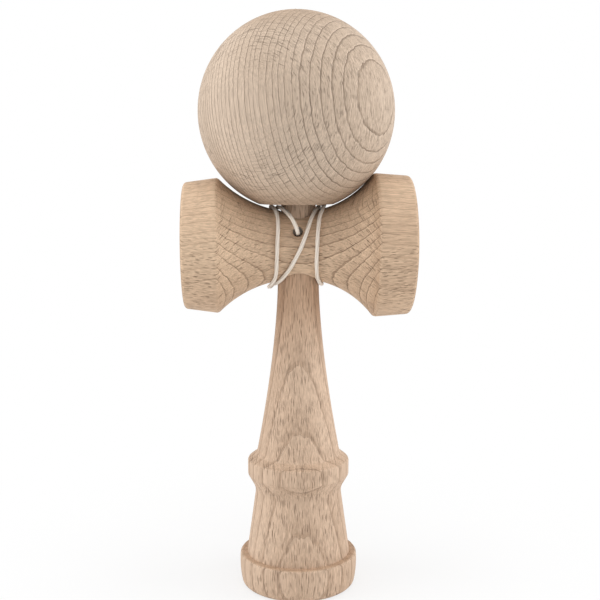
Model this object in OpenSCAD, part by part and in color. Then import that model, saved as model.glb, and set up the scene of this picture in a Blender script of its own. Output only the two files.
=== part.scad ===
// Kendama: a turned handle with a spike, a cross of two cups pushed onto it,
// a ball on the spike, and a cord wound round the cross's waist.
// The handle stands on its base cup, its axis is Z, and the two cups face -X and +X.

/* [Handle base] */
// Largest diameter of the base ring
base_d = 38; // [34:0.1:44]
// Height of the base ring
base_h = 10.6; // [8:0.1:14]
// Height at which the base ring is widest
base_belly_h = 7.6; // [6:0.1:8]
// Radius of the base ring's bulged side
base_bulge_r = 34; // [24:1:60]
// Rounding of the base ring's foot
base_foot_round = 1.6; // [0.6:0.1:2]
// Rounding of the base ring's upper edge
base_edge_round = 0.9; // [0.4:0.1:1.2]
// Diameter of the base cup's mouth
base_mouth_d = 30.6; // [26:0.1:32]
// Radius of the base cup's hollow
base_hollow_r = 20; // [18:0.5:30]

/* [Handle grip] */
// Diameter of the cone where it stands on the base ring
cone_d = 33.3; // [30:0.1:34]
// Diameter at the corner of the neck above the cone
neck_d = 27.2; // [24:0.1:29]
// Height of the neck's corner
neck_h = 32.2; // [28:0.1:34]
// Radius of the neck's hollow
neck_round = 6; // [3:0.5:7]
// Diameter of the collar above the neck
collar_d = 32.5; // [31:0.1:38]
// Height of the collar's lower edge
collar_low_h = 36.9; // [36:0.1:38.5]
// Height of the collar's upper edge
collar_top_h = 41.6; // [40.5:0.1:43]
// Rounding of the collar's edges
collar_round = 1.1; // [0.4:0.1:1.6]
// Diameter at the foot of the grip, above the collar
grip_foot_d = 26.6; // [24:0.1:29]
// Height of the foot of the grip
grip_foot_h = 43.9; // [43.5:0.1:47]
// Radius of the hollow between collar and grip
grip_foot_round = 2.5; // [1:0.1:2.8]
// Power of the grip's taper, 1 for a straight cone
grip_power = 1.55; // [1:0.05:2]

/* [Handle spike] */
// Diameter of the handle where the cross's bore begins
seat_low_d = 12.9; // [12:0.1:14]
// Diameter of the handle where the cross's bore ends
seat_top_d = 10.8; // [9:0.1:11.5]
// Half length of the tapered seat
seat_half = 12; // [11:0.1:14]
// Diameter of the spike just under its rounded tip
spike_tip_d = 5.4; // [4:0.1:7]
// Gap between the handle's taper and the cross's bore
taper_gap = 0.04; // [0.02:0.01:0.1]

/* [Cross of cups] */
// Height of the cross's axis
cross_h = 110.2; // [100:0.1:125]
// Diameter of the waist
waist_d = 20.8; // [20:0.1:23]
// Radius of the waist's curve towards the big cup
big_curve_r = 28.9; // [28:0.1:34]
// Radius of the waist's curve towards the small cup
small_curve_r = 34.8; // [30:0.1:40]
// Distance of the big cup's shoulder from the handle's axis
big_shoulder_x = 23.4; // [22:0.1:24.5]
// Distance of the small cup's shoulder from the handle's axis
small_shoulder_x = 24.9; // [23:0.1:26]
// Distance of the big cup's rim from the handle's axis
big_rim_x = 34.6; // [33:0.1:38]
// Distance of the small cup's rim from the handle's axis
small_rim_x = 35.4; // [33:0.1:38]
// Outer diameter of the big cup's rim
big_rim_d = 43; // [42:0.1:46]
// Outer diameter of the small cup's rim
small_rim_d = 38.9; // [38:0.1:42]
// Diameter of the big cup's mouth
big_mouth_d = 38; // [34:0.1:39]
// Diameter of the small cup's mouth
small_mouth_d = 34.4; // [30:0.1:35]
// Radius of the big cup's hollow
big_hollow_r = 24; // [22:0.5:32]
// Radius of the small cup's hollow
small_hollow_r = 22; // [20:0.5:30]
// Rounding of the shoulders
shoulder_round = 1.5; // [0.4:0.1:2]
// Rounding of the rims' outer edges
rim_round = 1.2; // [0.4:0.1:1.5]

/* [Ball] */
// Diameter of the ball
ball_d = 60; // [58:0.5:66]
// Diameter of the flat round the ball's mouth
ball_flat_d = 23.2; // [22.6:0.1:26]
// Diameter of the ball's bore
bore_d = 20.6; // [18:0.1:21.4]
// Bevel at the mouth of the bore
bore_bevel = 0.6; // [0.2:0.1:0.8]
// Distance by which the ball leans off the handle's axis, towards the small cup
ball_lean = 0.6; // [0:0.1:1]
// Gap between the ball's flat and the waist under it
ball_seat_gap = 0.3; // [0.2:0.05:0.6]
// Least gap between the ball and the corner of a shoulder, before it is rounded
ball_side_gap = 0.1; // [0.1:0.05:0.5]
// Length of the cord's hole in the crown of the ball
crown_h = 6.7; // [6:0.1:9]
// Diameter of the cord's hole in the crown
crown_hole_d = 4; // [3:0.1:5]
// Rounding of the crown hole's outer edge
crown_round = 2.5; // [1:0.1:3]

/* [Cord and bead] */
// Diameter of the cord
cord_d = 1.25; // [1:0.05:1.3]
// Gap between the cord and the wood under it
cord_gap = 0.3; // [0.2:0.05:0.5]
// Diameter of the bead inside the ball
bead_d = 7; // [6:0.1:8]
// Height of the bead
bead_h = 6.6; // [5:0.1:8]
// Gap all round the cord in the bead's hole
bead_hole_gap = 0.3; // [0.2:0.05:0.5]
// Gap above and below the bead
bead_gap = 0.3; // [0.2:0.05:0.5]
// Gap between the bead and the side of its pocket
pocket_gap = 0.9; // [0.3:0.1:1.5]
// Diameter of a stopper knot
knot_d = 3.8; // [3.4:0.1:4.2]
// Length of a stopper knot
knot_h = 3.2; // [2.8:0.1:4]
// Free end of the cord past the bead's knot
cord_end = 2; // [1:0.1:4]
// Room between that free end and the tip of the spike
tip_room = 1.7; // [1:0.1:4]
// Diameter of the cord's hole in the waist
cord_hole_d = 3.1; // [2.8:0.1:3.6]
// Height of the cord's hole above the cross's axis
cord_hole_up = 4.8; // [3:0.1:6]
// Offset of the cord's hole towards the small cup
cord_hole_side = 0.5; // [0:0.1:1]
// Gap between the knot and its hole in the handle
knot_hole_gap = 0.3; // [0.2:0.05:0.5]
// Depth of the knot's hole past the handle's axis
knot_hole_past = 3; // [1:0.5:4]

/* [Hidden] */
$fn = 96;
wood = "#d8b894";
ball_wood = "#d3b597";
cord_colour = "#f1e9dd";
bead_colour = "#c9a57c";
// Steps of a rounded corner, of the grip's curve and of a waist curve
corner_steps = 6;
grip_steps = 16;
waist_steps = 14;
// Overshoot of a cut past the face that it opens
cut = 1;
// Share of the spike's tip, and of the bead's wall, that is rounded
tip_share = 0.9;
bead_share = 0.45;
// Shares of a knot's length where its belly begins and ends, and the rounding of the belly
belly_low = 0.25;
belly_high = 0.75;
belly_round = 0.6;

// Handle heights and radii
seat_low_z = cross_h - seat_half;
seat_top_z = cross_h + seat_half;
base_hollow_z = -sqrt(pow(base_hollow_r, 2) - pow(base_mouth_d / 2, 2));

// Ball heights: it sits on the waist with its flat, or on the shoulders with its side
ball_r = ball_d / 2;
flat_r = ball_flat_d / 2;
flat_drop = sqrt(pow(ball_r, 2) - pow(flat_r, 2));
waist_r = waist_d / 2;
big_shoulder_r = waist_at(big_shoulder_x);
small_shoulder_r = waist_at(-small_shoulder_x);
flat_seat = max(waist_at(flat_r - ball_lean), waist_at(-flat_r - ball_lean)) + ball_seat_gap + flat_drop;
big_side_seat = side_seat(big_shoulder_x + ball_lean, big_shoulder_r);
small_side_seat = side_seat(small_shoulder_x - ball_lean, small_shoulder_r);
ball_z = cross_h + max(flat_seat, big_side_seat, small_side_seat);
ball_flat_z = ball_z - flat_drop;
ball_top_z = ball_z + ball_r;

// Stack inside the ball, from the crown down to the spike's tip
pocket_top_z = ball_top_z - crown_h;
pocket_r = bead_d / 2 + pocket_gap;
bead_top_z = pocket_top_z - bead_gap;
bead_low_z = bead_top_z - bead_h;
bore_top_z = bead_low_z - bead_gap;
bead_knot_z = bead_low_z - bead_gap;
cord_end_z = bead_knot_z - knot_h - cord_end;
spike_tip_z = cord_end_z - tip_room;
spike_tip_r = spike_tip_d / 2;

// Cord: knot in the handle, lead out of the waist's hole, turns, and the run up the ball's back
cord_r = cord_d / 2;
cord_hole_z = cross_h + cord_hole_up;
knot_front_y = -5;
lead = [[-0.5, -5, 115], [-0.5, -6.3, 115], [-0.5, -7.5, 114.8], [-0.5, -8.7, 114.6], [-0.6, -10, 114.9],
        [-0.9, -11, 115.9], [-1.4, -11.3, 117.2], [-2, -10.9, 118.5], [-2.7, -10, 119.5]];
// Turns round the waist: [angle from the front over the top, place along the cross, lift off the wood]
turns = [[52, -3.4, 1.6], [72, -5.3, 0.8], [90, -6.4, 0.2], [135, -6.7, 0], [180, -6.9, 0], [225, -7.1, 0],
         [270, -7.4, 0], [290, -6.4, 0], [311, -4.4, 0], [343, -1.3, 0], [370, 1.1, 0], [398, 2.9, 0],
         [425, 4.6, 0], [450, 6.4, 0], [495, 6.6, 0], [540, 6.9, 0], [585, 7.1, 0], [630, 7.4, 0],
         [650, 6.4, 0], [670, 5.5, 0], [700, 5.1, 0], [745, 5.5, 0], [770, 6.2, 0], [790, 7.2, 0.1],
         [810, 8.2, 0.6], [830, 7.6, 1.6], [847, 6, 2], [870, 3, 1], [900, -0.6, 0], [930, -3.8, 1],
         [953, -6.2, 2], [972, -8.2, 1.5], [990, -9.2, 0.6], [1010, -8.3, 0], [1030, -7.3, 0],
         [1083, -6.8, 0], [1125, -6.5, 0], [1150, -7.2, 0], [1170, -8.3, 0], [1185, -8.5, 0], [1200, -8.5, 0]];
turn_step = 15;
turn_last = 1180;
// Run from the waist out under the ball, up its back and down into its crown
run = [[-8.5, 4.3, 122], [-8.5, 5.6, 121.8], [-8.5, 8, 121.5], [-8.4, 11, 121.6], [-8.2, 13.8, 122.7],
       [-8, 16.4, 124.8], [-7.8, 18.8, 127.1], [-7.7, 21.8, 130], [-7.6, 24.4, 133], [-7.4, 26.6, 136.4],
       [-7.1, 28.4, 140.2], [-6.8, 29.6, 144], [-6.5, 30.3, 148], [-6, 30.5, 152], [-5.4, 30.2, 156.2],
       [-4.9, 29.3, 160], [-4.3, 27.9, 163.9], [-3.7, 26, 167.4], [-3.1, 23.7, 170.7], [-2.6, 20.9, 173.7],
       [-2.2, 17.7, 176.2], [-1.8, 14.7, 178.1], [-1.4, 11.6, 179.6], [-1.1, 8.9, 180.5],
       [-0.9, 6.4, 181.2], [-0.7, 4.5, 181.4], [-0.6, 2.3, 180.8], [-0.6, 0.6, 179.2], [-0.6, 0, 177],
       [-0.6, 0, 175.7]];
tail_top_z = run[len(run) - 1].z;

// Radius of the waist at place x along the cross
function waist_at(x) =
    let (curve = x < 0 ? small_curve_r : big_curve_r)
    waist_r + curve - sqrt(pow(curve, 2) - pow(x, 2));

// Height of the ball's centre over the cross's axis when its side meets a shoulder
function side_seat(side, shoulder_r) =
    shoulder_r + sqrt(max(0, pow(ball_r + ball_side_gap, 2) - pow(side, 2)));

// Radius and height of the grip at a share of its length, from its foot up
function grip_at(share) =
    let (low = grip_foot_d / 2, top = seat_low_d / 2)
    [top + (low - top) * pow(1 - share, grip_power), grip_foot_h + (seat_low_z - grip_foot_h) * share, 0];

function unit(v) = v / norm(v);
function flat_point(p) = [p[0], p[1]];

// Arc of radius r in the corner at b, between the edges to a and c
function corner(a, b, c, r) =
    let (u = unit(a - b),
         v = unit(c - b),
         half = acos(u * v) / 2,
         centre = b + unit(u + v) * r / sin(half),
         first = b + u * r / tan(half) - centre,
         last = b + v * r / tan(half) - centre,
         turn = sign(cross(first, last)) * (180 - 2 * half))
    [for (i = [0:corner_steps])
        let (k = turn * i / corner_steps)
        centre + [first.x * cos(k) - first.y * sin(k), first.x * sin(k) + first.y * cos(k)]];

// Outline through [across, along, rounding] points, with each named corner rounded
function rounded(path) =
    [for (i = [0:len(path) - 1])
        each path[i][2] > 0
            ? corner(flat_point(path[i - 1]), flat_point(path[i]), flat_point(path[i + 1]), path[i][2])
            : [flat_point(path[i])]];

// Side of the base ring, bulged outwards, from height a to height b
function base_side(a, b) =
    [for (i = [0:corner_steps])
        let (z = a + (b - a) * i / corner_steps)
        [base_d / 2 - base_bulge_r + sqrt(pow(base_bulge_r, 2) - pow(z - base_belly_h, 2)), z, 0]];

// Outline of the handle, as [radius, height] points from the foot to the tip
function handle_outline() =
    let (side = base_side(0, base_h),
         foot = side[0],
         edge = side[corner_steps],
         grip = [for (i = [1:grip_steps]) grip_at(i / grip_steps)])
    rounded(concat(
        [[0, 0, 0], [foot[0], 0, base_foot_round]],
        [for (i = [2:corner_steps - 1]) side[i]],
        [[edge[0], base_h, base_edge_round], [cone_d / 2, base_h, 0], [neck_d / 2, neck_h, neck_round],
         [collar_d / 2, collar_low_h, collar_round], [collar_d / 2, collar_top_h, collar_round],
         [grip_foot_d / 2, grip_foot_h, grip_foot_round]],
        grip,
        [[seat_top_d / 2, seat_top_z, 0], [spike_tip_r, spike_tip_z, spike_tip_r * tip_share], [0, spike_tip_z, 0]]));

// Outline of the cross, as [radius, place] points from the small rim to the big one
function cross_outline() =
    rounded(concat(
        [[0, -small_rim_x, 0], [small_rim_d / 2, -small_rim_x, rim_round],
         [small_shoulder_r, -small_shoulder_x, shoulder_round]],
        [for (i = [1 - waist_steps:waist_steps - 1])
            let (x = (i < 0 ? small_shoulder_x : big_shoulder_x) * i / waist_steps)
            [waist_at(x), x, 0]],
        [[big_shoulder_r, big_shoulder_x, shoulder_round], [big_rim_d / 2, big_rim_x, rim_round],
         [0, big_rim_x, 0]]));

// Distance of a hollow's centre outside the plane of its mouth
function hollow_out(r, mouth_d) = sqrt(pow(r, 2) - pow(mouth_d / 2, 2));

// Place and lift of the turns at an angle, on a smooth curve through the stations
function slope(i) =
    let (a = turns[max(i - 1, 0)], b = turns[min(i + 1, len(turns) - 1)])
    (b - a) / (b[0] - a[0]);
function station(angle) = max([for (i = [0:len(turns) - 2]) if (turns[i][0] <= angle) i]);
function track(angle) =
    let (i = station(angle),
         a = turns[i],
         b = turns[i + 1],
         span = b[0] - a[0],
         t = (angle - a[0]) / span)
    a * (2 * pow(t, 3) - 3 * pow(t, 2) + 1) + b * (3 * pow(t, 2) - 2 * pow(t, 3))
        + slope(i) * span * (pow(t, 3) - 2 * pow(t, 2) + t)
        + slope(i + 1) * span * (pow(t, 3) - pow(t, 2));
function turn_point(angle) =
    let (s = track(angle),
         reach = waist_at(s[1]) + cord_gap + cord_r + s[2])
    [s[1], -reach * cos(angle), cross_h + reach * sin(angle)];
function winding(step) =
    concat(lead,
           [for (angle = [turns[0][0]:step:turn_last]) turn_point(angle)],
           [run[0] + cord_d * unit(run[0] - run[1]), run[0]]);

// Least gap of a cord to itself, past a stretch of so many points
function self_gap(path, stretch) =
    min([for (i = [0:len(path) - 1 - stretch])
        min([for (j = [i + stretch:len(path) - 1]) norm(path[i] - path[j])])]) - cord_d;

function heading(path, i) = unit(path[min(i + 1, len(path) - 1)] - path[max(i - 1, 0)]);
function across(v, along) = unit(v - (v * along) * along);

// Round tube of so many sides along a path, without twist
module tube(path, sides) {
    count = len(path);
    normals = [for (i = 0, n = across([1, 0, 0.3], heading(path, 0));
                    i < count;
                    i = i + 1, n = i < count ? across(n, heading(path, i)) : n) n];
    rings = [for (i = [0:count - 1], k = [0:sides - 1])
                let (side = cross(heading(path, i), normals[i]))
                path[i] + cord_r * (cos(360 * k / sides) * normals[i] + sin(360 * k / sides) * side)];
    walls = [for (i = [0:count - 2], k = [0:sides - 1])
                let (a = i * sides + k, b = i * sides + (k + 1) % sides)
                each [[a, b + sides, b], [a, a + sides, b + sides]]];
    last = (count - 1) * sides;
    caps = [for (k = [1:sides - 2]) each [[0, k, k + 1], [last, last + k + 1, last + k]]];
    polyhedron(points = rings, faces = concat(walls, caps));
}

// Barrel-shaped stopper knot, its flat face at the origin and its body below
module knot() {
    waist = cord_d;
    rotate_extrude()
        polygon(rounded([[0, 0, 0], [waist, 0, 0], [knot_d / 2, -knot_h * belly_low, belly_round],
                         [knot_d / 2, -knot_h * belly_high, belly_round], [waist, -knot_h, 0],
                         [0, -knot_h, 0]]));
}

module knot_axis() {
    translate([-cord_hole_side, knot_front_y, cord_hole_z]) rotate([90, 0, 0]) children();
}

module ken() {
    color(wood) difference() {
        rotate_extrude() polygon(handle_outline());
        translate([0, 0, base_hollow_z]) sphere(base_hollow_r);
        knot_axis()
            translate([0, 0, knot_front_y - knot_hole_past])
            cylinder(d = knot_d + 2 * knot_hole_gap, h = seat_low_d + knot_hole_past);
    }
}

module sarado() {
    color(wood) difference() {
        translate([0, 0, cross_h]) rotate([0, 90, 0]) rotate_extrude() polygon(cross_outline());
        translate([big_rim_x + hollow_out(big_hollow_r, big_mouth_d), 0, cross_h]) sphere(big_hollow_r);
        translate([-small_rim_x - hollow_out(small_hollow_r, small_mouth_d), 0, cross_h]) sphere(small_hollow_r);
        translate([0, 0, seat_low_z])
            cylinder(d1 = seat_low_d + 2 * taper_gap, d2 = seat_top_d + 2 * taper_gap, h = 2 * seat_half);
        knot_axis() cylinder(d = cord_hole_d, h = waist_d);
    }
}

// Cutter that opens the crown's hole with a rounded edge
module crown_cut() {
    hole_r = crown_hole_d / 2;
    edge_z = ball_z + sqrt(pow(ball_r, 2) - pow(hole_r + crown_round, 2)) - crown_round;
    arc = [for (i = [0:corner_steps])
              let (a = 90 * i / corner_steps)
              [hole_r + crown_round * (1 - cos(a)), edge_z + crown_round * sin(a)]];
    rotate_extrude()
        polygon(concat([[0, pocket_top_z - cut], [hole_r, pocket_top_z - cut]], arc,
                       [[hole_r + crown_round, ball_top_z + cut], [0, ball_top_z + cut]]));
}

module tama() {
    bore_r = bore_d / 2;
    color(ball_wood) translate([-ball_lean, 0, 0]) difference() {
        translate([0, 0, ball_z]) sphere(ball_r);
        translate([0, 0, ball_flat_z - ball_r]) cylinder(r = ball_r, h = ball_r);
        translate([0, 0, ball_flat_z - cut]) cylinder(r = bore_r, h = bore_top_z - ball_flat_z + cut);
        translate([0, 0, ball_flat_z])
            cylinder(r1 = bore_r + bore_bevel, r2 = bore_r, h = bore_bevel);
        cylinder(r = pocket_r, h = pocket_top_z);
        crown_cut();
    }
}

module bead() {
    hole_r = cord_r + bead_hole_gap;
    round_r = (bead_d / 2 - hole_r) * bead_share;
    color(bead_colour) translate([-ball_lean, 0, 0]) rotate_extrude()
        polygon(rounded([[hole_r, (bead_low_z + bead_top_z) / 2, 0], [hole_r, bead_low_z, 0],
                         [bead_d / 2, bead_low_z, round_r], [bead_d / 2, bead_top_z, round_r],
                         [hole_r, bead_top_z, 0]]));
}

module bead_knot() {
    color(cord_colour) translate([-ball_lean, 0, bead_knot_z]) {
        knot();
        translate([0, 0, -knot_h - cord_end]) cylinder(r = cord_r, h = cord_end + cut);
    }
}

module ken_knot() {
    color(cord_colour) knot_axis() knot();
}

module string_winding() {
    fine_step = 3;
    apart = 12;
    echo(winding_gap_mm = self_gap(winding(fine_step), apart));
    color(cord_colour) tube(winding(turn_step), 6);
}

module string_run() {
    color(cord_colour) tube(run, 8);
}

module string_tail() {
    color(cord_colour) translate([-ball_lean, 0, bead_knot_z]) cylinder(r = cord_r, h = tail_top_z - bead_knot_z);
}

ken();
sarado();
tama();
bead();
bead_knot();
ken_knot();
string_winding();
string_run();
string_tail();
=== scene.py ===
"""A kendama in bare beech: a turned handle, a cross of two cups, a ball on the spike and a wound cord.

Sizes are in millimetres, as the solids have them, and a finished mesh is scaled to metres.
"""

import math

import bmesh
import bpy
from mathutils import Matrix, Vector
from mathutils.kdtree import KDTree


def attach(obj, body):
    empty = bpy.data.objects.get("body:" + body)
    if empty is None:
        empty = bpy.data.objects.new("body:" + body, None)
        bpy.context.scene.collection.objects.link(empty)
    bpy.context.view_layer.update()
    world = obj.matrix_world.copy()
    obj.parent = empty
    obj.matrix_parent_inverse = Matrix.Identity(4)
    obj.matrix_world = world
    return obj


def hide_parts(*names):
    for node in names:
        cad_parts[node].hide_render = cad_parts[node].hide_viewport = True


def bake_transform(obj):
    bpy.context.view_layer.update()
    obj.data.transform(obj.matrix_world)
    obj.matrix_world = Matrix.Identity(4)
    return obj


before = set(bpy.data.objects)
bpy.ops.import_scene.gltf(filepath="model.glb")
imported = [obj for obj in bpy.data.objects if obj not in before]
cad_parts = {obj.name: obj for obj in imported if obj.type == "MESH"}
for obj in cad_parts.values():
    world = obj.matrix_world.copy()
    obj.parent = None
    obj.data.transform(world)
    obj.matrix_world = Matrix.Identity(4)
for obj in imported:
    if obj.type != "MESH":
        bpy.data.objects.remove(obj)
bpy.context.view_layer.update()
MM = 0.001

# Handle
BASE_D = 38.0
BASE_H = 10.6
BASE_BELLY_H = 7.6
BASE_BULGE_R = 34.0
BASE_FOOT_ROUND = 1.6
BASE_EDGE_ROUND = 0.9
BASE_MOUTH_D = 30.6
BASE_HOLLOW_R = 20.0
CONE_D = 33.3
NECK_D, NECK_H, NECK_ROUND = 27.2, 32.2, 6.0
COLLAR_D, COLLAR_LOW_H, COLLAR_TOP_H, COLLAR_ROUND = 32.5, 36.9, 41.6, 1.1
GRIP_FOOT_D, GRIP_FOOT_H, GRIP_FOOT_ROUND, GRIP_POWER = 26.6, 43.9, 2.5, 1.55
SEAT_LOW_D, SEAT_TOP_D, SEAT_HALF = 12.9, 10.8, 12.0
SPIKE_TIP_D = 5.4
TIP_SHARE = 0.9

# Cross of cups
CROSS_H = 110.2
WAIST_D = 20.8
BIG_CURVE_R, SMALL_CURVE_R = 28.9, 34.8
BIG_SHOULDER_X, SMALL_SHOULDER_X = 23.4, 24.9
BIG_RIM_X, SMALL_RIM_X = 34.6, 35.4
BIG_RIM_D, SMALL_RIM_D = 43.0, 38.9
BIG_MOUTH_D, SMALL_MOUTH_D = 38.0, 34.4
BIG_HOLLOW_R, SMALL_HOLLOW_R = 24.0, 22.0
SHOULDER_ROUND, RIM_ROUND = 1.5, 1.2
MOUTH_ROUND = 0.9
TAPER_GAP = 0.04
BORE_EASE, BORE_GRIP_HALF = 0.42, 4.0
CORD_HOLE_D = 3.1
CORD_HOLE_BEVEL, COUNTERSINK_H = 0.5, 2.0
KNOT_HOLE_D = 4.4
KNOT_HOLE_PAST = 3.0

# Ball
BALL_D = 60.0
BALL_FLAT_D = 23.2
BALL_LEAN = 0.6
BALL_Z = 150.775
BALL_BORE_D = 20.6
BALL_BORE_BEVEL = 0.6
CROWN_H = 6.7
CROWN_HOLE_D = 4.0
CROWN_ROUND = 2.5

# Bead and knots
BEAD_D, BEAD_H, BEAD_GAP = 7.0, 6.6, 0.3
BEAD_HOLE_GAP = 0.3
BEAD_BELLY_SHARE = 0.45
POCKET_GAP = 0.9
KNOT_D, KNOT_H, KNOT_COILS = 3.8, 3.2, 3
KNOT_FRONT = (-0.5, -5.0, 115.0)
CORD_END = 2.0
TIP_ROOM = 1.7

# Cord: strands laid round each other, turning once in a lay, with grooves a share of the diameter deep
CORD_D = 1.25
CORD_GAP = 0.1
CORD_STRANDS = 4
CORD_LAY = 26.0
CORD_GROOVE = 0.06

# Places that follow from these sizes
SEAT_LOW_Z = CROSS_H - SEAT_HALF
SEAT_TOP_Z = CROSS_H + SEAT_HALF
BALL_R = BALL_D / 2
BALL_TOP_Z = BALL_Z + BALL_R
BALL_FLAT_Z = BALL_Z - math.sqrt(BALL_R**2 - (BALL_FLAT_D / 2) ** 2)
POCKET_TOP_Z = BALL_TOP_Z - CROWN_H
BEAD_TOP_Z = POCKET_TOP_Z - BEAD_GAP
BEAD_LOW_Z = BEAD_TOP_Z - BEAD_H
BORE_TOP_Z = BEAD_LOW_Z - BEAD_GAP
SPIKE_TIP_Z = BORE_TOP_Z - KNOT_H - CORD_END - TIP_ROOM

# Cord's route: out of the hole in the waist, round the waist, then up the ball's back into its crown
LEAD = [
    (-0.5, -5, 115), (-0.5, -6.3, 115), (-0.5, -7.5, 114.8), (-0.5, -8.7, 114.6), (-0.6, -10, 114.9),
    (-0.9, -11, 115.9), (-1.4, -11.3, 117.2), (-2, -10.9, 118.5), (-2.7, -10, 119.5),
]
# Angle from the front over the top, place along the cross, lift off the wood
TURNS = [
    (52, -3.4, 1.6), (72, -5.3, 0.8), (90, -6.4, 0.2), (135, -6.7, 0), (180, -6.9, 0), (225, -7.1, 0),
    (270, -7.4, 0), (290, -6.4, 0), (311, -4.4, 0), (343, -1.3, 0), (370, 1.1, 0), (398, 2.9, 0),
    (425, 4.6, 0), (450, 6.4, 0), (495, 6.6, 0), (540, 6.9, 0), (585, 7.1, 0), (630, 7.4, 0),
    (650, 6.4, 0), (670, 5.5, 0), (700, 5.1, 0), (745, 5.5, 0), (770, 6.2, 0), (790, 7.2, 0.1),
    (810, 8.2, 0.6), (830, 7.6, 1.6), (847, 6, 2), (870, 3, 1), (900, -0.6, 0), (930, -3.8, 1),
    (953, -6.2, 2), (972, -8.2, 1.5), (990, -9.2, 0.6), (1010, -8.3, 0), (1030, -7.3, 0),
    (1083, -6.8, 0), (1125, -6.5, 0), (1150, -7.2, 0), (1170, -8.3, 0), (1185, -8.5, 0),
    (1200, -8.5, 0),
]
TURN_STEP, TURN_LAST = 5, 1180
RUN = [
    (-8.5, 4.3, 122), (-8.5, 5.6, 121.8), (-8.5, 8, 121.5), (-8.4, 11, 121.6), (-8.2, 13.8, 122.7),
    (-8, 16.4, 124.8), (-7.8, 18.8, 127.1), (-7.7, 21.8, 130), (-7.6, 24.4, 133), (-7.4, 26.6, 136.4),
    (-7.1, 28.4, 140.2), (-6.8, 29.6, 144), (-6.5, 30.3, 148), (-6, 30.5, 152), (-5.4, 30.2, 156.2),
    (-4.9, 29.3, 160), (-4.3, 27.9, 163.9), (-3.7, 26, 167.4), (-3.1, 23.7, 170.7), (-2.6, 20.9, 173.7),
    (-2.2, 17.7, 176.2), (-1.8, 14.7, 178.1), (-1.4, 11.6, 179.6), (-1.1, 8.9, 180.5),
    (-0.9, 6.4, 181.2), (-0.7, 4.5, 181.4), (-0.6, 2.3, 180.8), (-0.6, 0.6, 179.2), (-0.6, 0, 177),
    (-0.6, 0, 175.7),
]

# Fineness: segments round an axis, steps of a corner and of a long curve, and the cord's sides and step
SEGMENTS = 160
BORE_SEGMENTS, BEAD_SEGMENTS, DRILL_SEGMENTS, KNOT_SEGMENTS = 96, 64, 48, 48
CORNER_STEPS = 10
CURVE_STEPS = 36
BASE_STEPS = 12
CORD_SIDES = 24
CORD_STEP = 0.4
SHARP_EDGE = math.radians(40)
SPIN_DOUBLES = 1e-4
MEND_DOUBLES = 1e-6

# Beech's pattern: scales are features in a millimetre, and most of a noise lies between two values
SLOW_ALONG = 0.3
NOISE_LOW, NOISE_HIGH = 0.3, 0.7
CLOUD_SCALE = 0.05
END_FROM = 0.65
END_TINT = (0.85, 0.8, 0.75, 1)

# Rings: how they wander and vary, and what lies where in a ring's width, from 0 to 1
WANDER_SCALE, WANDER = 0.035, 3.0
SHIVER_SCALE, SHIVER = 0.45, 0.8
UNEVEN_SCALE, UNEVEN = 0.16, 1.6
CLOSER_BEHIND = 25.0
EARLY_FULL, EARLY_TO = 0.03, 0.2
BROWN_FROM, BROWN_FULL = 0.4, 0.9
LATE_FROM, LATE_FULL, LATE_TO = 0.84, 0.96, 0.975
FADE_SCALE, FADE_FROM, FADE_TO, FADE_LEAST = 0.12, 0.38, 0.6, 0.6
END_LINES = 0.55
RING_TONE_SHARE = 0.3
PALE_GAIN, PALE_SHARE = 1.12, 0.8

# Rays: scales in towards the pith, across the grain and along it, and the thickness of a ray in its cell
FLAT_RAY, STEEP_RAY, FLAT_RAY_SHARE = 0.97, 0.72, 0.12
SWING_SCALE, SWING = 0.4, 0.7
RAY_CORE = 0.4
WIDE_RAY_IN, WIDE_RAY_THICK = 0.06, 0.23
FINE_RAY_IN, FINE_RAY_THICK, FINE_RAY_SHARE = 0.1, 0.31, 0.9
FINE_ACROSS, FINE_ALONG = 1.6, 1.7
PALE_RAY_IN, PALE_RAY_ACROSS, PALE_RAY_ALONG = 0.1, 3.0, 0.4
PALE_RAY_FROM, PALE_RAY_FULL, PALE_RAY_SHARE = 0.5, 0.75, 0.6
END_RAYS = 0.5

# Streaks, roughness and relief
STREAK_ACROSS, STREAK_ALONG, STREAK_GAIN = 3.2, 0.13, 0.9
ROUGH_FROM, ROUGH_TO, ROUGHEST, SMOOTHEST = 0.2, 0.8, 0.75, 0.55
WOOD_SPECULAR = 0.25
STREAK_RELIEF, LINE_RELIEF = 0.4, 1.4
WOOD_BUMP, WOOD_BUMP_DEPTH = 0.9, 0.0002

# Cord's finish, with painted shade in the grooves between the strands
CORD_LIGHT, CORD_DARK = (0.94, 0.87, 0.78, 1), (0.88, 0.8, 0.7, 1)
FUZZ_TONE, FUZZ_SCALE, FUZZ_FROM, FUZZ_SHARE = (0.7, 0.6, 0.5, 1), 3.0, 0.35, 0.2
GROOVE_SHADE, GROOVE_SHADE_FROM, GROOVE_SHADE_SHARE = (0.55, 0.45, 0.36, 1), 0.45, 0.5
CORD_CLOUD_SCALE = 0.3
CORD_ROUGHNESS, CORD_SHEEN = 0.6, 0.15
CORD_BUMP, CORD_BUMP_DEPTH = 0.3, 0.00005

# Stage, in metres
FLOOR_HALF = 2.0
FLOOR_GREY = 0.85
SHADOW_NEAR, SHADOW_FAR, SHADOW_WHITE = 0.02, 0.16, 0.72
ROOM_LIGHT = 0.63
WHITE = (1, 1, 1, 1)
# Name, place, target, width, height, power
SOFTBOXES = [
    ("left_softbox", (-0.60, -0.08, 0.32), (0, 0, 0.12), 0.5, 0.6, 2.1),
    ("right_softbox", (0.60, -0.06, 0.24), (0, 0, 0.12), 0.5, 0.6, 2.4),
    ("top_softbox", (0, -0.12, 0.75), (0, 0, 0.10), 0.5, 0.5, 1.6),
]

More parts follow.
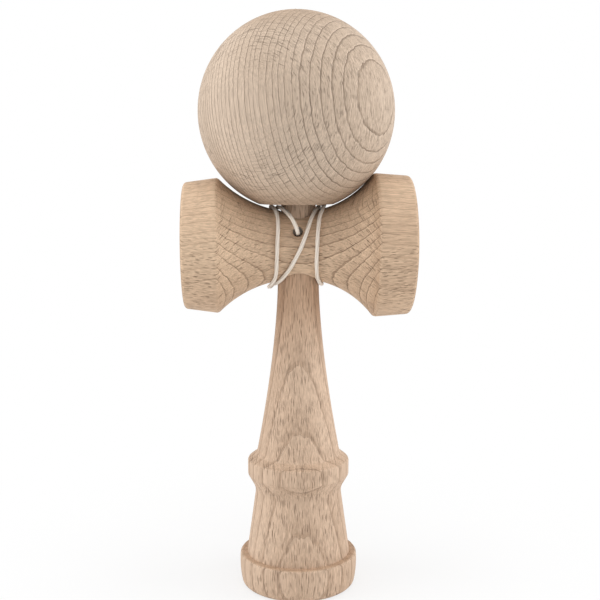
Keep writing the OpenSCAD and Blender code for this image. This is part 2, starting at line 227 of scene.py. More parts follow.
# Camera of the photograph's view
CAMERA_DISTANCE = 0.3008
CAMERA_HEIGHT = 0.1332
CAMERA_YAW = math.radians(2.38)
CAMERA_PITCH = math.radians(9.39)
CAMERA_NEAR = 0.01
SENSOR = 36.0
FOCAL_PIXELS = 962.6
IMAGE_PIXELS = 600
AXIS_PIXEL = (298.3, 330.0)


def waist_at(x):
    """Radius of the waist at a place along the cross."""
    curve = SMALL_CURVE_R if x < 0 else BIG_CURVE_R
    return WAIST_D / 2 + curve - math.sqrt(curve**2 - x**2)


def corner(a, b, c, radius):
    """Arc in the corner at b, between the edges to a and c."""
    a, b, c = Vector(a), Vector(b), Vector(c)
    to_a, to_c = (a - b).normalized(), (c - b).normalized()
    half = to_a.angle(to_c) / 2
    centre = b + (to_a + to_c).normalized() * radius / math.sin(half)
    first = b + to_a * radius / math.tan(half) - centre
    last = b + to_c * radius / math.tan(half) - centre
    turn = math.copysign(math.pi - 2 * half, first.cross(last))
    spots = []
    for i in range(CORNER_STEPS + 1):
        k = turn * i / CORNER_STEPS
        spots.append(centre + Matrix.Rotation(k, 2) @ first)
    return [tuple(p) for p in spots]


def rounded(path):
    """Outline through (radius, place, rounding) points, with each corner that has a rounding rounded."""
    outline = []
    for i, (r, z, rounding) in enumerate(path):
        if rounding:
            outline += corner(path[i - 1][:2], (r, z), path[i + 1][:2], rounding)
        else:
            outline.append((r, z))
    return outline


def hollow(mouth_d, radius, rim, inwards, mouth_round=0):
    """Outline of a spherical hollow from its floor on the axis to its mouth.

    inwards is +1 where the floor lies at a higher place than the rim, and -1 where it lies lower.
    """
    out = math.sqrt(radius**2 - (mouth_d / 2) ** 2)
    top = math.asin(mouth_d / 2 / radius)
    outline = []
    for i in range(CURVE_STEPS):
        a = top * i / CURVE_STEPS
        outline.append((radius * math.sin(a), rim + inwards * (radius * math.cos(a) - out), 0))
    outline.append((mouth_d / 2, rim, mouth_round))
    return outline


def handle_outline():
    """Outline of the handle from the floor of its base cup, round the foot and up to the tip."""
    def base_r(z):
        return BASE_D / 2 - BASE_BULGE_R + math.sqrt(BASE_BULGE_R**2 - (z - BASE_BELLY_H) ** 2)

    def grip(share):
        low, top = GRIP_FOOT_D / 2, SEAT_LOW_D / 2
        r = top + (low - top) * (1 - share) ** GRIP_POWER
        return (r, GRIP_FOOT_H + (SEAT_LOW_Z - GRIP_FOOT_H) * share, 0)

    tip = SPIKE_TIP_D / 2
    # The foot's and the edge's roundings take the lowest and the highest steps
    side = [BASE_H * i / BASE_STEPS for i in range(3, BASE_STEPS - 1)]
    return rounded([
        *hollow(BASE_MOUTH_D, BASE_HOLLOW_R, 0, 1),
        (base_r(0), 0, BASE_FOOT_ROUND),
        *[(base_r(z), z, 0) for z in side],
        (base_r(BASE_H), BASE_H, BASE_EDGE_ROUND),
        (CONE_D / 2, BASE_H, 0),
        (NECK_D / 2, NECK_H, NECK_ROUND),
        (COLLAR_D / 2, COLLAR_LOW_H, COLLAR_ROUND),
        (COLLAR_D / 2, COLLAR_TOP_H, COLLAR_ROUND),
        (GRIP_FOOT_D / 2, GRIP_FOOT_H, GRIP_FOOT_ROUND),
        *[grip(i / CURVE_STEPS) for i in range(1, CURVE_STEPS + 1)],
        (SEAT_TOP_D / 2, SEAT_TOP_Z, 0),
        (tip, SPIKE_TIP_Z, tip * TIP_SHARE),
        (0, SPIKE_TIP_Z, 0),
    ])


def cross_outline():
    """Outline of the cross from the small cup's floor, along the waist to the big cup's floor."""
    waist = [SMALL_SHOULDER_X * i / CURVE_STEPS for i in range(1 - CURVE_STEPS, 0)]
    waist += [BIG_SHOULDER_X * i / CURVE_STEPS for i in range(CURVE_STEPS)]
    return rounded([
        *hollow(SMALL_MOUTH_D, SMALL_HOLLOW_R, -SMALL_RIM_X, 1, MOUTH_ROUND),
        (SMALL_RIM_D / 2, -SMALL_RIM_X, RIM_ROUND),
        (waist_at(-SMALL_SHOULDER_X), -SMALL_SHOULDER_X, SHOULDER_ROUND),
        *[(waist_at(x), x, 0) for x in waist],
        (waist_at(BIG_SHOULDER_X), BIG_SHOULDER_X, SHOULDER_ROUND),
        (BIG_RIM_D / 2, BIG_RIM_X, RIM_ROUND),
        *reversed(hollow(BIG_MOUTH_D, BIG_HOLLOW_R, BIG_RIM_X, -1, MOUTH_ROUND)),
    ])


def ball_outline():
    """Closed outline of the bored ball: bead's pocket, crown hole, the outside, the flat and the bore."""
    hole = CROWN_HOLE_D / 2
    edge = hole + CROWN_ROUND
    edge_z = BALL_Z + math.sqrt(BALL_R**2 - edge**2) - CROWN_ROUND
    quarter = [math.pi / 2 * i / CORNER_STEPS for i in range(CORNER_STEPS)]
    top = math.asin(edge / BALL_R)
    low = math.pi - math.asin(BALL_FLAT_D / 2 / BALL_R)
    steps = 4 * CURVE_STEPS
    outside = [top + (low - top) * i / steps for i in range(steps + 1)]
    bore = BALL_BORE_D / 2
    pocket = BEAD_D / 2 + POCKET_GAP
    return [
        (pocket, BORE_TOP_Z),
        (pocket, POCKET_TOP_Z),
        (hole, POCKET_TOP_Z),
        *[(hole + CROWN_ROUND * (1 - math.cos(a)), edge_z + CROWN_ROUND * math.sin(a)) for a in quarter],
        *[(BALL_R * math.sin(a), BALL_Z + BALL_R * math.cos(a)) for a in outside],
        (bore + BALL_BORE_BEVEL, BALL_FLAT_Z),
        (bore, BALL_FLAT_Z + BALL_BORE_BEVEL),
        (bore, BORE_TOP_Z),
    ]


def turned(outline, closed=False, segments=SEGMENTS):
    """Mesh of an outline of (radius, place) spun round Z, in millimetres."""
    bm = bmesh.new()
    verts = [bm.verts.new((r, 0, z)) for r, z in outline]
    edges = [bm.edges.new(pair) for pair in zip(verts, verts[1:])]
    if closed:
        edges.append(bm.edges.new((verts[-1], verts[0])))
    bmesh.ops.spin(bm, geom=verts + edges, cent=(0, 0, 0), axis=(0, 0, 1), angle=2 * math.pi,
                   steps=segments, use_merge=True)
    bmesh.ops.remove_doubles(bm, verts=bm.verts, dist=SPIN_DOUBLES)
    bmesh.ops.recalc_face_normals(bm, faces=bm.faces)
    return bm


def tip_over(bm, axis):
    """Turns a mesh by a quarter round an axis, so that its own Z lies along another one."""
    bmesh.ops.rotate(bm, verts=bm.verts, cent=(0, 0, 0), matrix=Matrix.Rotation(math.pi / 2, 3, axis))


def move(bm, place):
    bmesh.ops.translate(bm, verts=bm.verts, vec=place)


def mend(mesh):
    """Merges the doubles of a finished mesh, and turns its faces outwards."""
    bm = bmesh.new()
    bm.from_mesh(mesh)
    bmesh.ops.remove_doubles(bm, verts=bm.verts, dist=MEND_DOUBLES)
    bmesh.ops.dissolve_degenerate(bm, edges=bm.edges, dist=MEND_DOUBLES)
    bmesh.ops.recalc_face_normals(bm, faces=bm.faces)
    bm.to_mesh(mesh)
    bm.free()


def placed(name, data):
    """Object at the origin, put in the scene."""
    piece = bpy.data.objects.new(name, data)
    bpy.context.scene.collection.objects.link(piece)
    return piece


def evaluated_mesh(piece):
    """Mesh that an object shows with its modifiers or its bevel."""
    bpy.context.view_layer.update()
    graph = bpy.context.evaluated_depsgraph_get()
    return bpy.data.meshes.new_from_object(piece.evaluated_get(graph))


def smoothed(mesh):
    mesh.shade_smooth()
    mesh.set_sharp_from_angle(angle=SHARP_EDGE)


def piece_of(bm, name):
    """Object of a finished mesh, scaled to metres, smooth but for its sharp edges."""
    bmesh.ops.scale(bm, vec=(MM, MM, MM), verts=bm.verts)
    mesh = bpy.data.meshes.new(name)
    bm.to_mesh(mesh)
    bm.free()
    smoothed(mesh)
    return placed(name, mesh)


def drilled(piece, cutter):
    """The piece with the cutter taken out of it."""
    cut = piece.modifiers.new("hole", "BOOLEAN")
    cut.object = cutter
    cut.solver = "EXACT"
    mesh = evaluated_mesh(piece)
    piece.modifiers.clear()
    solid = piece.data
    piece.data = mesh
    bpy.data.meshes.remove(solid)
    bpy.data.meshes.remove(cutter.data)
    mesh.name = piece.name
    mend(mesh)
    smoothed(mesh)
    return piece


def drill(name, diameter, back_y, length=WAIST_D, widening=0.0):
    """Cutter for a round hole along Y through the knot's place, from back_y towards the front.

    Its radius grows by the widening over its length.
    """
    bm = bmesh.new()
    back_r = diameter / 2
    bmesh.ops.create_cone(bm, cap_ends=True, segments=DRILL_SEGMENTS, radius1=back_r,
                          radius2=back_r + widening, depth=length)
    tip_over(bm, "X")
    x, _, z = KNOT_FRONT
    move(bm, (x, back_y - length / 2, z))
    return piece_of(bm, name)


def make_handle():
    handle = piece_of(turned(handle_outline()), "handle")
    return drilled(handle, drill("knot_drill", KNOT_HOLE_D, KNOT_HOLE_PAST))


def make_cross():
    bm = turned(cross_outline())
    tip_over(bm, "Y")
    move(bm, (0, 0, CROSS_H))
    cross = piece_of(bm, "cross")
    low, top = SEAT_LOW_D / 2 + TAPER_GAP, SEAT_TOP_D / 2 + TAPER_GAP
    slope = (low - top) / (2 * SEAT_HALF)
    reamer = turned([
        (0, SEAT_LOW_Z),
        (low + BORE_EASE, SEAT_LOW_Z),
        (low - slope * (SEAT_HALF - BORE_GRIP_HALF), CROSS_H - BORE_GRIP_HALF),
        (top + slope * (SEAT_HALF - BORE_GRIP_HALF), CROSS_H + BORE_GRIP_HALF),
        (top + BORE_EASE, SEAT_TOP_Z),
        (0, SEAT_TOP_Z),
    ], segments=BORE_SEGMENTS)
    drilled(cross, piece_of(reamer, "reamer"))
    drilled(cross, drill("cord_drill", CORD_HOLE_D, KNOT_FRONT[1]))
    front = -math.sqrt((WAIST_D / 2) ** 2 - (KNOT_FRONT[2] - CROSS_H) ** 2)
    countersink = drill("countersink", CORD_HOLE_D, front + CORD_HOLE_BEVEL,
                        length=COUNTERSINK_H, widening=COUNTERSINK_H)
    return drilled(cross, countersink)


def make_ball():
    bm = turned(ball_outline(), closed=True)
    move(bm, (-BALL_LEAN, 0, 0))
    return piece_of(bm, "ball")


def make_bead():
    hole = CORD_D / 2 + BEAD_HOLE_GAP
    belly = (BEAD_D / 2 - hole) * BEAD_BELLY_SHARE
    outline = rounded([
        (hole, (BEAD_LOW_Z + BEAD_TOP_Z) / 2, 0),
        (hole, BEAD_LOW_Z, 0),
        (BEAD_D / 2, BEAD_LOW_Z, belly),
        (BEAD_D / 2, BEAD_TOP_Z, belly),
        (hole, BEAD_TOP_Z, 0),
    ])
    bm = turned(outline, closed=True, segments=BEAD_SEGMENTS)
    move(bm, (-BALL_LEAN, 0, 0))
    return piece_of(bm, "cord_bead")


def knot_mesh(end=0.0):
    """Barrel knot of a few tight coils below the origin, round Z, with the cord's end below it."""
    wrap = KNOT_H / KNOT_COILS / 2
    outline = [(0, 0)]
    for i in range(KNOT_COILS):
        centre = -wrap * (2 * i + 1)
        for k in range(CORNER_STEPS + 1):
            a = math.pi * k / CORNER_STEPS
            outline.append((KNOT_D / 2 - wrap + wrap * math.sin(a), centre + wrap * math.cos(a)))
    if end:
        outline += [(CORD_D / 2, -KNOT_H), (CORD_D / 2, -KNOT_H - end)]
    outline.append((0, -KNOT_H - end))
    return turned(outline, segments=KNOT_SEGMENTS)


def make_knots():
    front = knot_mesh()
    tip_over(front, "X")
    move(front, KNOT_FRONT)
    inner = knot_mesh(CORD_END)
    move(inner, (-BALL_LEAN, 0, BORE_TOP_Z))
    return piece_of(front, "handle_stopper_knot"), piece_of(inner, "bead_stopper_knot")


def eased(a, b, out_a, out_b, t):
    """Point at a share t of the smooth curve from a to b, which leaves and arrives as out_a and out_b."""
    return (a * (2 * t**3 - 3 * t**2 + 1) + b * (3 * t**2 - 2 * t**3)
            + out_a * (t**3 - 2 * t**2 + t) + out_b * (t**3 - t**2))


def turn_point(angle):
    """Point of the winding at an angle, on a smooth curve through the stations."""
    i = max(k for k in range(len(TURNS) - 1) if TURNS[k][0] <= angle)

    def slope(k):
        before, after = Vector(TURNS[max(k - 1, 0)]), Vector(TURNS[min(k + 1, len(TURNS) - 1)])
        return (after - before) / (after[0] - before[0])

    a, b = Vector(TURNS[i]), Vector(TURNS[i + 1])
    span = b[0] - a[0]
    spot = eased(a, b, slope(i) * span, slope(i + 1) * span, (angle - a[0]) / span)
    reach = waist_at(spot[1]) + CORD_GAP + CORD_D / 2 + spot[2]
    turn = math.radians(angle)
    return (spot[1], -reach * math.cos(turn), CROSS_H + reach * math.sin(turn))


def smooth_line(points):
    """Points about a step apart on a smooth curve through the given ones."""
    points = [Vector(p) for p in points]
    last = len(points) - 1
    line = []
    for i in range(last):
        before, a, b, after = (points[min(max(k, 0), last)] for k in range(i - 1, i + 3))
        span = (b - a).length
        out_a = (b - before) / (span + (a - before).length) * span
        out_b = (after - a) / ((after - b).length + span) * span
        count = max(1, round(span / CORD_STEP))
        line += [eased(a, b, out_a, out_b, k / count) for k in range(count)]
    line.append(points[-1])
    return line


def cord_section(name):
    """Lobed section of the cord, a lobe to each strand."""
    section = bpy.data.curves.new(name, "CURVE")
    section.dimensions = "2D"
    ring = section.splines.new("POLY")
    ring.points.add(CORD_SIDES - 1)
    for k in range(CORD_SIDES):
        a = 2 * math.pi * k / CORD_SIDES
        r = CORD_D / 2 * MM * (1 - CORD_GROOVE + CORD_GROOVE * math.cos(CORD_STRANDS * a))
        ring.points[k].co = (r * math.cos(a), r * math.sin(a), 0, 1)
    ring.use_cyclic_u = True
    return section


def cord_along(line, name):
    """Laid cord along a line in millimetres.

    Its groove attribute is 0 on the strands and 1 in the grooves between them.
    """
    section = cord_section(name + "_section")
    route = bpy.data.curves.new(name + "_route", "CURVE")
    route.dimensions = "3D"
    route.twist_mode = "MINIMUM"
    route.bevel_mode = "OBJECT"
    route.bevel_object = bpy.data.objects.new(name + "_section", section)
    route.use_fill_caps = True
    spline = route.splines.new("POLY")
    spline.points.add(len(line) - 1)
    middle = KDTree(len(line))
    along = 0.0
    for i, p in enumerate(line):
        along += (p - line[i - 1]).length if i else 0
        spline.points[i].co = (*(p * MM), 1)
        spline.points[i].tilt = 2 * math.pi * along / CORD_LAY
        middle.insert(p * MM, i)
    middle.balance()
    mesh = evaluated_mesh(placed(name, route))
    bpy.data.curves.remove(route)
    bpy.data.curves.remove(section)
    mesh.name = name
    mend(mesh)
    mesh.shade_smooth()
    groove = mesh.attributes.new("groove", "FLOAT", "POINT")
    for vert in mesh.vertices:
        sunk = CORD_D / 2 - middle.find(vert.co)[2] / MM
        groove.data[vert.index].value = min(max(sunk / (CORD_D * CORD_GROOVE), 0.0), 1.0)
    return placed(name, mesh)


class Graph:
    """Node tree of a material or the world, built a node at a time."""

    def __init__(self, owner):
        self.owner = owner
        owner.use_nodes = True
        self.tree = owner.node_tree

    def own(self, name):
        """A node that the tree starts with."""
        return self.tree.nodes[name]

    def node(self, kind, inputs=(), **settings):
        made = self.tree.nodes.new(kind)
        for key, value in settings.items():
            setattr(made, key, value)
        for key, value in dict(inputs).items():
            self.put(value, made.inputs[key])
        return made

    def put(self, value, socket):
        if isinstance(value, bpy.types.NodeSocket):
            self.tree.links.new(value, socket)
        else:
            socket.default_value = value

    def math(self, operation, *values):
        return self.node("ShaderNodeMath", dict(enumerate(values)), operation=operation).outputs[0]

    def plus(self, a, b):
        return self.math("ADD", a, b)

    def minus(self, a, b):
        return self.math("SUBTRACT", a, b)

    def times(self, a, b):
        return self.math("MULTIPLY", a, b)

    def most(self, a, b):
        return self.math("MAXIMUM", a, b)

    def vector(self, x, y, z):
        return self.node("ShaderNodeCombineXYZ", {"X": x, "Y": y, "Z": z}).outputs[0]

    def length(self, vector):
        return self.node("ShaderNodeVectorMath", {0: vector}, operation="LENGTH").outputs["Value"]

    def noise(self, vector, scale, detail=2.0, roughness=0.5):
        inputs = {"Vector": vector, "Scale": scale, "Detail": detail, "Roughness": roughness}
        return self.node("ShaderNodeTexNoise", inputs).outputs["Fac"]

    def sway(self, vector, scale, size, detail=2.0, roughness=0.5):
        """Noise about 0, times a size."""
        return self.times(self.minus(self.noise(vector, scale, detail, roughness), 0.5), size)

    def spindles(self, x, y, z, thick):
        """Scattered slim grains, one in each cell of the given coordinates."""
        made = self.node("ShaderNodeTexVoronoi", {"Vector": self.vector(x, y, z), "Scale": 1.0})
        return self.ramp(made.outputs["Distance"], thick, thick * RAY_CORE)

    def facing(self, normal, way):
        """How squarely the surface faces a way or its opposite, from 0 to 1."""
        made = self.node("ShaderNodeVectorMath", {0: normal, 1: way}, operation="DOT_PRODUCT")
        return self.math("ABSOLUTE", made.outputs["Value"])

    def ramp(self, value, low, high, to_low=0.0, to_high=1.0):
        inputs = {"Value": value, "From Min": low, "From Max": high, "To Min": to_low, "To Max": to_high}
        return self.node("ShaderNodeMapRange", inputs, interpolation_type="SMOOTHSTEP").outputs[0]

    def mix(self, share, a, b, blend="MIX"):
        made = self.node("ShaderNodeMix", {0: share, 6: a, 7: b}, data_type="RGBA", blend_type=blend)
        return made.outputs[2]

    def bump(self, height, strength, distance):
        inputs = {"Strength": strength, "Distance": distance, "Height": height}
        return self.node("ShaderNodeBump", inputs).outputs[0]


def beech(name, fibre, pole, centre, pith, ring, start, light, dark, line, ray,
          ring_weight=0.6, band=0.1, ray_weight=0.68, fleck=0.2, slim=2.6, streaks=0.17,
          closer=0.0, ends_and_hollow_shade=END_TINT, calm=None, painted_shade_band=None):
    """Bare sanded beech as a solid: rings round a pith, and rays that run out from it.

    The grain: fibre is its way, pole the way that the rings face, and centre the middle of the piece.
    Rings: pith is the distance of their middle from the centre, towards the pole, or away from it if
    below 0. ring is their width, start the share of a ring by which they are shifted, ring_weight the
    weight of their lines, and band that of the soft brown that leads up to each. closer is how fast they
    narrow behind the pole's side of the piece, and calm the stretch along the grain from the centre over
    which they fade, as (from, to, share).
    Rays: ray_weight is their weight, and fleck and slim their number in a millimetre along the grain
    and across it. streaks is the contrast of the fine lines along the grain, and ends_and_hollow_shade the
    tint of end grain, which, made deep on the cross, is also painted shade in the floors of its cups.
    painted_shade_band is painted shade, darker and warmer, about a place along the grain, as
    (middle, reach, tint).
    """
    g = Graph(bpy.data.materials.new(name))
    along = Vector(fibre).normalized()
    out = (Vector(pole) - along * along.dot(Vector(pole))).normalized()
    across = along.cross(out)
    turn = Matrix((out, across, along))
    surface = g.node("ShaderNodeTexCoord").outputs
    place = g.node("ShaderNodeMapping", {
        "Vector": surface["Object"],
        "Location": -(turn @ Vector(centre)),
        "Rotation": turn.to_euler("XYZ"),
        "Scale": (1 / MM, 1 / MM, 1 / MM),
    }).outputs[0]
    x, y, z = g.node("ShaderNodeSeparateXYZ", {0: place}).outputs
    slow = g.vector(x, y, g.times(z, SLOW_ALONG))

    # Depth from the pith and place round it, in millimetres
    far = abs(pith)
    inwards = g.math("MULTIPLY_ADD", x, -math.copysign(1, pith), far)
    wander = g.sway(slow, WANDER_SCALE, WANDER, 1.0)
    shiver = g.sway(slow, SHIVER_SCALE, SHIVER, 3.0, 0.6)
    depth = g.plus(g.plus(g.length(g.vector(inwards, y, 0.0)), wander), shiver)
    arc = g.times(g.math("ARCTAN2", y, inwards), far)

    # Growth rings of uneven width, each with a thin dark line of late wood and a tone of its own
    uneven = g.noise(g.vector(g.times(depth, UNEVEN_SCALE), 0.0, 0.0), 1.0, 1.0)
    count = g.plus(g.math("MULTIPLY_ADD", depth, 1 / ring, start), g.times(uneven, UNEVEN))
    if closer:
        behind = g.most(g.minus(depth, far - CLOSER_BEHIND), 0.0)
        count = g.math("MULTIPLY_ADD", g.times(behind, behind), closer / 2, count)
    share = g.math("FRACT", count)
    late = g.times(g.ramp(share, LATE_FROM, LATE_FULL), g.ramp(share, 1.0, LATE_TO))
    brown = g.times(g.ramp(share, BROWN_FROM, BROWN_FULL), g.ramp(share, 1.0, BROWN_FULL))
    early = g.ramp(share, EARLY_TO, EARLY_FULL)
    whole = g.math("FLOOR", count)
    ring_tone = g.node("ShaderNodeTexWhiteNoise", {"W": whole}, noise_dimensions="1D").outputs[0]

    # Lines fade in places, on end grain, and where the piece is calm
    end_grain = g.ramp(g.facing(surface["Normal"], along), END_FROM, 1.0)
    fade = g.ramp(g.noise(slow, FADE_SCALE), FADE_FROM, FADE_TO, FADE_LEAST, 1.0)
    if calm:
        fade = g.times(fade, g.ramp(g.math("ABSOLUTE", z), calm[0], calm[1], 1.0, calm[2]))
    fade = g.times(fade, g.ramp(end_grain, 0.0, 1.0, 1.0, END_LINES))
    lines = g.times(late, fade)

    # Rays: thin sheets towards the pith, short along the grain, faint where the surface lies along them
    edge_on = g.ramp(g.facing(surface["Normal"], across), FLAT_RAY, STEEP_RAY, FLAT_RAY_SHARE, 1.0)
    swing = g.plus(g.sway(slow, SWING_SCALE, SWING), arc)
    wide = g.spindles(g.times(depth, WIDE_RAY_IN), g.times(swing, slim), g.times(z, fleck), WIDE_RAY_THICK)
    fine = g.spindles(g.times(depth, FINE_RAY_IN), g.times(swing, FINE_ACROSS * slim),
                      g.times(z, FINE_ALONG * fleck), FINE_RAY_THICK)
    rays = g.times(g.most(wide, g.times(fine, FINE_RAY_SHARE)), edge_on)
    rays = g.times(rays, g.ramp(end_grain, 0.0, 1.0, 1.0, END_RAYS))
    sheets = g.vector(g.times(depth, PALE_RAY_IN), g.times(swing, PALE_RAY_ACROSS),
                      g.times(z, PALE_RAY_ALONG))
    pale_rays = g.times(g.noise(sheets, 1.0, 1.0), edge_on)

    # Fine streaks along the grain, and broad clouds of colour
    threads = g.vector(g.times(x, STREAK_ACROSS), g.times(y, STREAK_ACROSS), g.times(z, STREAK_ALONG))
    streak = g.noise(threads, 1.0, 3.0, 0.65)
    cloud = g.noise(slow, CLOUD_SCALE)
    grey = g.ramp(streak, NOISE_LOW, NOISE_HIGH, 1.0 - streaks, 1.0 + STREAK_GAIN * streaks)

    pale = (*[min(1.0, PALE_GAIN * c) for c in light[:3]], 1)
    tone = g.mix(g.ramp(cloud, NOISE_LOW, NOISE_HIGH), light, dark)
    tone = g.mix(g.times(brown, band), tone, line)
    tone = g.mix(g.times(ring_tone, RING_TONE_SHARE * ring_weight), tone, dark)
    tone = g.mix(g.times(g.times(early, fade), PALE_SHARE * ring_weight), tone, pale)
    pale_share = g.ramp(pale_rays, PALE_RAY_FROM, PALE_RAY_FULL, 0.0, PALE_RAY_SHARE)
    tone = g.mix(pale_share, tone, pale)
    tone = g.mix(g.times(lines, ring_weight), tone, line)
    tone = g.mix(g.times(rays, ray_weight), tone, ray)
    # Painted shade: a stretch along the grain tinted darker and warmer
    if painted_shade_band:
        middle, reach, tint = painted_shade_band
        off_middle = g.math("ABSOLUTE", g.minus(z, middle))
        tone = g.mix(g.ramp(off_middle, reach, 0.0), tone, tint, "MULTIPLY")
    # End grain is darker; where this tint is deep, as on the cross, it is also painted shade in the cups'
    # hollows
    tone = g.mix(end_grain, tone, ends_and_hollow_shade, "MULTIPLY")
    tone = g.mix(1.0, tone, g.vector(grey, grey, grey), "MULTIPLY")

    relief = g.minus(g.times(streak, STREAK_RELIEF), g.math("MULTIPLY_ADD", lines, LINE_RELIEF, rays))
    shader = g.own("Principled BSDF").inputs
    shader["Specular IOR Level"].default_value = WOOD_SPECULAR
    g.put(tone, shader["Base Color"])
    g.put(g.ramp(streak, ROUGH_FROM, ROUGH_TO, ROUGHEST, SMOOTHEST), shader["Roughness"])
    g.put(g.bump(relief, WOOD_BUMP, WOOD_BUMP_DEPTH), shader["Normal"])
    return g.owner


def cord_finish(name):
    """Off-white cord with a fine fuzz, and painted shade in the grooves between its strands."""
    g = Graph(bpy.data.materials.new(name))
    place = g.node("ShaderNodeTexCoord").outputs["Object"]
    groove = g.node("ShaderNodeAttribute", attribute_name="groove").outputs["Fac"]
    fuzz = g.noise(place, FUZZ_SCALE / MM, 3.0, 0.7)
    cloud = g.noise(place, CORD_CLOUD_SCALE / MM)
    tone = g.mix(g.ramp(cloud, NOISE_LOW, NOISE_HIGH), CORD_LIGHT, CORD_DARK)
    tone = g.mix(g.ramp(fuzz, FUZZ_FROM, NOISE_HIGH, 0.0, FUZZ_SHARE), tone, FUZZ_TONE)
    # Painted shade: the grooves between the strands are darkened
    tone = g.mix(g.ramp(groove, GROOVE_SHADE_FROM, 1.0, 0.0, GROOVE_SHADE_SHARE), tone, GROOVE_SHADE)
    shader = g.own("Principled BSDF").inputs
    shader["Roughness"].default_value = CORD_ROUGHNESS
    shader["Sheen Weight"].default_value = CORD_SHEEN
    g.put(tone, shader["Base Color"])
    g.put(g.bump(fuzz, CORD_BUMP, CORD_BUMP_DEPTH), shader["Normal"])
    return g.owner


def dress(piece, material, slot, *nodes):
    """Gives a piece its finish, and hides the solids that it stands for."""
    piece.data.materials.clear()
    piece.data.materials.append(material)
    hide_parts(*nodes)


def shown(g):
    """1 for a ray that shows a thing, also in a mirror or through glass, and 0 for one that lights it."""
    ray = g.node("ShaderNodeLightPath").outputs
    return g.most(ray["Is Camera Ray"], g.most(ray["Is Glossy Ray"], ray["Is Transmission Ray"]))


def make_floor():
    """White floor that keeps the shadow near the object."""
    mesh = bpy.data.meshes.new("floor")
    bm = bmesh.new()
    bmesh.ops.create_grid(bm, x_segments=1, y_segments=1, size=FLOOR_HALF)
    bm.to_mesh(mesh)
    bm.free()
    g = Graph(bpy.data.materials.new("white_floor"))
    matt = g.own("Principled BSDF")
    matt.inputs["Base Color"].default_value = (FLOOR_GREY, FLOOR_GREY, FLOOR_GREY, 1)
    matt.inputs["Roughness"].default_value = 1.0
    matt.inputs["Specular IOR Level"].default_value = 0.0
    white = g.node("ShaderNodeEmission", {"Color": WHITE, "Strength": 1.0})
    far_off = g.length(g.node("ShaderNodeTexCoord").outputs["Object"])
    clean = g.times(shown(g), g.ramp(far_off, SHADOW_NEAR, SHADOW_FAR, SHADOW_WHITE, 1.0))
    cover = g.node("ShaderNodeMixShader", {0: clean, 1: matt.outputs[0], 2: white.outputs[0]})
    g.put(cover.outputs[0], g.own("Material Output").inputs["Surface"])
    mesh.materials.append(g.owner)
    return placed("floor", mesh)


def make_room():
    """World that is white to look at, and lights the object at a plain level."""
    world = bpy.data.worlds.new("white_room")
    bpy.context.scene.world = world
    g = Graph(world)
    light = g.own("Background")
    light.inputs["Color"].default_value = WHITE
    light.inputs["Strength"].default_value = ROOM_LIGHT
    white = g.node("ShaderNodeBackground", {"Color": WHITE, "Strength": 1.0})
    room = g.node("ShaderNodeMixShader", {0: shown(g), 1: light.outputs[0], 2: white.outputs[0]})
    g.put(room.outputs[0], g.own("World Output").inputs["Surface"])


def make_softbox(name, place, target, width, height, power):
    lamp = bpy.data.lights.new(name, "AREA")
    lamp.shape = "RECTANGLE"
    lamp.size, lamp.size_y = width, height
    lamp.energy = power
    holder = placed(name, lamp)
    holder.location = place
    holder.rotation_euler = (Vector(target) - Vector(place)).to_track_quat("-Z", "Y").to_euler()


def make_camera():
    lens = bpy.data.cameras.new("camera")
    lens.sensor_width = SENSOR
    lens.lens = SENSOR * FOCAL_PIXELS / IMAGE_PIXELS
    lens.shift_x = (IMAGE_PIXELS / 2 - AXIS_PIXEL[0]) / IMAGE_PIXELS
    lens.shift_y = (AXIS_PIXEL[1] - IMAGE_PIXELS / 2) / IMAGE_PIXELS
    lens.clip_start = CAMERA_NEAR
    camera = placed("camera", lens)
    left, back = math.sin(CAMERA_YAW), math.cos(CAMERA_YAW)
    camera.location = (-CAMERA_DISTANCE * left, -CAMERA_DISTANCE * back, CAMERA_HEIGHT)
    camera.rotation_euler = (math.pi / 2 - CAMERA_PITCH, 0, -CAMERA_YAW)
    return camera


# Pieces
handle = make_handle()
cross = make_cross()
ball = make_ball()
bead = make_bead()
handle_knot, bead_knot = make_knots()
winding = [turn_point(a) for a in range(TURNS[0][0], TURN_LAST + 1, TURN_STEP)]
cord_line = smooth_line([*LEAD, *winding, *RUN])
string = cord_along(cord_line, "string")
tail_top = RUN[-1][2]
tail_places = (BORE_TOP_Z, (BORE_TOP_Z + tail_top) / 2, tail_top)
string_tail = cord_along(smooth_line([(-BALL_LEAN, 0, z) for z in tail_places]), "string_end")

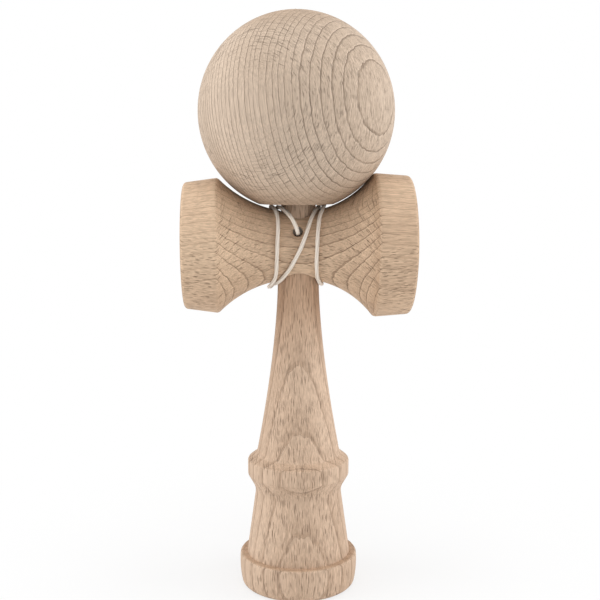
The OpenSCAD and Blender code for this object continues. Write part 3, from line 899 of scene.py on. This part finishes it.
# Finishes: light and dark wood, the ring's line and the ray
handle_beech = beech(
    "handle_beech", fibre=(0, 0, 1), pole=(0.05, -1, 0), centre=(0, 0, 70),
    pith=-90, ring=3.4, start=0.33,
    light=(0.635, 0.468, 0.342, 1), dark=(0.545, 0.388, 0.275, 1),
    line=(0.30, 0.185, 0.115, 1), ray=(0.20, 0.115, 0.068, 1),
    ring_weight=0.34, band=0.22, ray_weight=0.6, fleck=0.13, slim=2.1, streaks=0.18,
    # Painted shade on the upper grip, just below the cross
    painted_shade_band=(26, 26, (0.93, 0.85, 0.79, 1)),
)
cross_beech = beech(
    "cross_beech", fibre=(1, 0, 0), pole=(0, -0.6, -0.8), centre=(0, 0, CROSS_H),
    pith=-80, ring=2.3, start=0.25,
    light=(0.68, 0.495, 0.34, 1), dark=(0.575, 0.405, 0.275, 1),
    line=(0.29, 0.18, 0.11, 1), ray=(0.20, 0.115, 0.068, 1),
    # Deep end-grain tint: partly the wood's darker end grain, partly painted shade darkening the cups'
    # hollows
    ring_weight=0.62, streaks=0.2, ends_and_hollow_shade=(0.72, 0.63, 0.55, 1), calm=(21, 27, 0.3),
)
ball_beech = beech(
    "ball_beech", fibre=(-0.095, 0.077, 1), pole=(0.777, -0.629, 0), centre=(-BALL_LEAN, 0, BALL_Z),
    pith=150, ring=2.4, start=0.47, closer=0.0088,
    light=(0.62, 0.49, 0.38, 1), dark=(0.53, 0.41, 0.31, 1),
    line=(0.25, 0.175, 0.12, 1), ray=(0.19, 0.13, 0.09, 1),
    ring_weight=0.68, ray_weight=0.62,
)
bead_beech = beech(
    "bead_beech", fibre=(0, 0, 1), pole=(0, -1, 0), centre=(0, 0, BEAD_LOW_Z),
    pith=60, ring=1.6, start=0.0,
    light=(0.55, 0.38, 0.23, 1), dark=(0.45, 0.3, 0.17, 1),
    line=(0.3, 0.19, 0.11, 1), ray=(0.3, 0.19, 0.11, 1),
)
cord_white = cord_finish("cord_white")

dress(handle, handle_beech, "handle_wood", "ken")
dress(cross, cross_beech, "cross_wood", "sarado")
dress(ball, ball_beech, "ball_wood", "tama")
dress(bead, bead_beech, "bead_wood", "bead")
dress(handle_knot, cord_white, "cord", "ken_knot")
dress(bead_knot, cord_white, "cord", "bead_knot")
dress(string, cord_white, "cord", "string_winding", "string_run")
dress(string_tail, cord_white, "cord", "string_tail")

for part in (handle, cross, handle_knot):
    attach(part, "handle")
for part in (bead, bead_knot, string_tail):
    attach(part, "cord_end")
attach(ball, "ball")
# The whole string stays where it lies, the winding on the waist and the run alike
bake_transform(string)

# Stage
make_floor()
make_room()
for box in SOFTBOXES:
    make_softbox(*box)
bpy.context.scene.camera = make_camera()
bpy.context.scene.view_settings.view_transform = "Standard"

bpy.context.view_layer.update()
